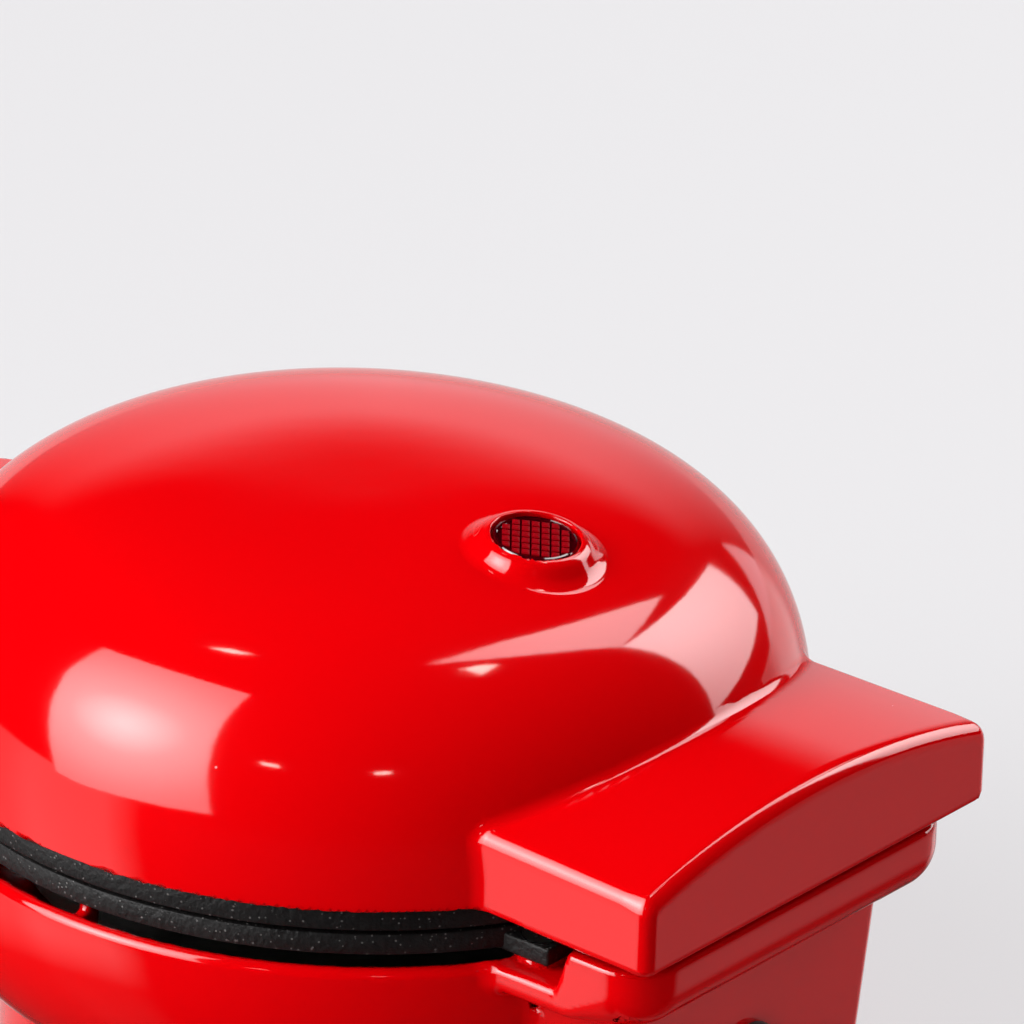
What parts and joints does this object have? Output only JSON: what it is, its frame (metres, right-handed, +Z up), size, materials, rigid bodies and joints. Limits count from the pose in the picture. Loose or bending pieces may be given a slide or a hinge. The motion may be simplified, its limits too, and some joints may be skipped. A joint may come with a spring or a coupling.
{
  "type": "taiyaki maker",
  "caption": "Round countertop fish-cake maker: a domed lid on a rear hinge closes over two cast mould plates in a bowl base.",
  "frame": {"origin": "on the table, under the axis of the dome and the bowl", "axes": "+Y to the hinge at the rear, +X to the right when seen from the front, +Z up"},
  "size_m": [0.1306, 0.1684, 0.0909],
  "materials": {
    "lid_paint": "high-gloss red lacquer",
    "base_paint": "high-gloss red lacquer",
    "lens_red": "clear dark red, moulded with a small square grid",
    "lamp_glass": "clear glass",
    "holder_plastic": "matt",
    "upper_coating": "matt dark non-stick coating on cast aluminium",
    "lower_coating": "matt dark non-stick coating on cast aluminium",
    "element_steel": "dull",
    "shield_steel": "bright rolled sheet",
    "screw_steel": "zinc plated",
    "thermostat_case": "satin",
    "bracket_steel": "zinc plated",
    "pin_steel": "polished",
    "lead_sleeve": "white braided glass sleeve",
    "fuse_case": "matt",
    "clip_steel": "satin",
    "cover_plastic": "fine-grained matt",
    "foot_rubber": "matt",
    "block_ceramic": "matt ceramic",
    "gland_rubber": "matt"
  },
  "bodies": {
    "lid": {"lid_shell": "lid_paint", "indicator_lens": "lens_red", "indicator_lamp": "lamp_glass", "lamp_holder": "holder_plastic", "upper_plate": "upper_coating", "upper_element": "element_steel", "upper_heat_shield": "shield_steel", "upper_plate_screws": "screw_steel", "thermostat": "thermostat_case", "hinge_bracket": "bracket_steel", "bracket_screws": "screw_steel", "lid_leads": "lead_sleeve"},
    "base": {"base_shell": "base_paint", "hinge_pins": "pin_steel", "lower_plate": "lower_coating", "lower_element": "element_steel", "lower_heat_shield": "shield_steel", "lower_plate_screws": "screw_steel", "thermal_fuse": "fuse_case", "fuse_clip": "clip_steel", "bottom_cover": "cover_plastic", "cover_screws": "screw_steel", "rubber_feet": "foot_rubber", "terminal_block": "block_ceramic", "cord_gland": "gland_rubber", "base_leads": "lead_sleeve"}
  },
  "joints": [
    {"name": "lid_hinge", "type": "hinge", "parent": "base", "child": "lid", "pos_m": [0, 0.073, 0.0457], "axis": [-1, 0, 0], "range_deg": [0, 100]}
  ]
}
